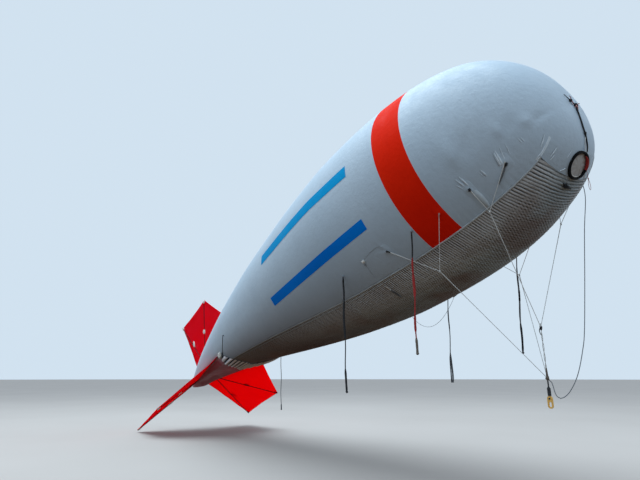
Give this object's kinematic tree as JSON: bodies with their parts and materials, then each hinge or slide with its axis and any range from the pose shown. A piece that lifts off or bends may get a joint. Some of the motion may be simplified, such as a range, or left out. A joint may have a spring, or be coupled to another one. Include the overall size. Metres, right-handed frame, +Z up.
{
  "type": "tethered aerostat",
  "caption": "Streamlined fabric balloon with an elastic pleated belly, flat tail fins on rod frames, a rope bridle and a tether swivel.",
  "frame": {"origin": "on the hull's axis at its centre of lift, where the air holds it up", "axes": "+X towards the nose, +Y to port, +Z up; the hull rides nose up by 14.5 degrees and leans 5.5 degrees to starboard"},
  "size_m": [15.3146, 4.0403, 6.6585],
  "materials": {
    "belly_elastic": "dark grey gathered elastic fabric",
    "rope": "pale grey cord",
    "dark_rope": "dark cord",
    "envelope_fabric": "pale grey-blue coated fabric, satin",
    "red_band": "red coated fabric, satin",
    "fin_fabric": "bright red fabric",
    "fin_rod": "dark red sleeve over a rod",
    "red_rope": "red cord",
    "swivel_steel": "dark steel",
    "patch_fabric": "grey-blue reinforcing patch",
    "port_cover": "grey coated fabric",
    "port_black": "matte black",
    "link_yellow": "yellow-orange paint"
  },
  "bodies": {
    "aerostat": {"belly_aft": "belly_elastic", "belly_fore": "belly_elastic", "bridle_front_port": "rope", "bridle_front_starboard": "rope", "bridle_knot": "dark_rope", "bridle_rear_port": "rope", "bridle_rear_starboard": "rope", "bridle_riser": "rope", "envelope_aft": "envelope_fabric", "envelope_band": "red_band", "envelope_fore": "envelope_fabric", "envelope_mid": "envelope_fabric", "envelope_nose": "envelope_fabric", "envelope_tail": "envelope_fabric", "fin_port": "fin_fabric", "fin_port_rod_aft": "fin_rod", "fin_port_rod_fore": "fin_rod", "fin_starboard": "fin_fabric", "fin_starboard_rod_aft": "fin_rod", "fin_starboard_rod_fore": "fin_rod", "fin_top": "fin_fabric", "fin_top_rod_aft": "fin_rod", "fin_top_rod_fore": "fin_rod", "line_aft_port": "dark_rope", "line_aft_port_end": "dark_rope", "line_aft_starboard": "dark_rope", "line_aft_starboard_end": "dark_rope", "line_fore_port": "dark_rope", "line_fore_port_end": "dark_rope", "line_fore_starboard": "red_rope", "line_fore_starboard_end": "red_rope", "line_mid_port": "rope", "line_mid_port_end": "rope", "line_mid_starboard": "dark_rope", "line_mid_starboard_end": "dark_rope", "load_patch_port_1": "patch_fabric", "load_patch_port_2": "patch_fabric", "load_patch_port_3": "patch_fabric", "load_patch_port_4": "patch_fabric", "load_patch_starboard_1": "patch_fabric", "load_patch_starboard_2": "patch_fabric", "load_patch_starboard_3": "patch_fabric", "load_patch_starboard_4": "patch_fabric", "port_cover": "port_cover", "port_ring": "port_black", "slack_line": "rope", "swivel_head": "swivel_steel"},
    "tether_swivel": {"swivel_foot": "swivel_steel", "tether_link": "link_yellow", "link_pin": "swivel_steel"}
  },
  "joints": [
    {"name": "swivel_turn", "type": "hinge", "parent": "aerostat", "child": "tether_swivel", "pos_m": [4.19, 0.343, -2.73], "axis": [0, 0, 1], "continuous": true}
  ]
}
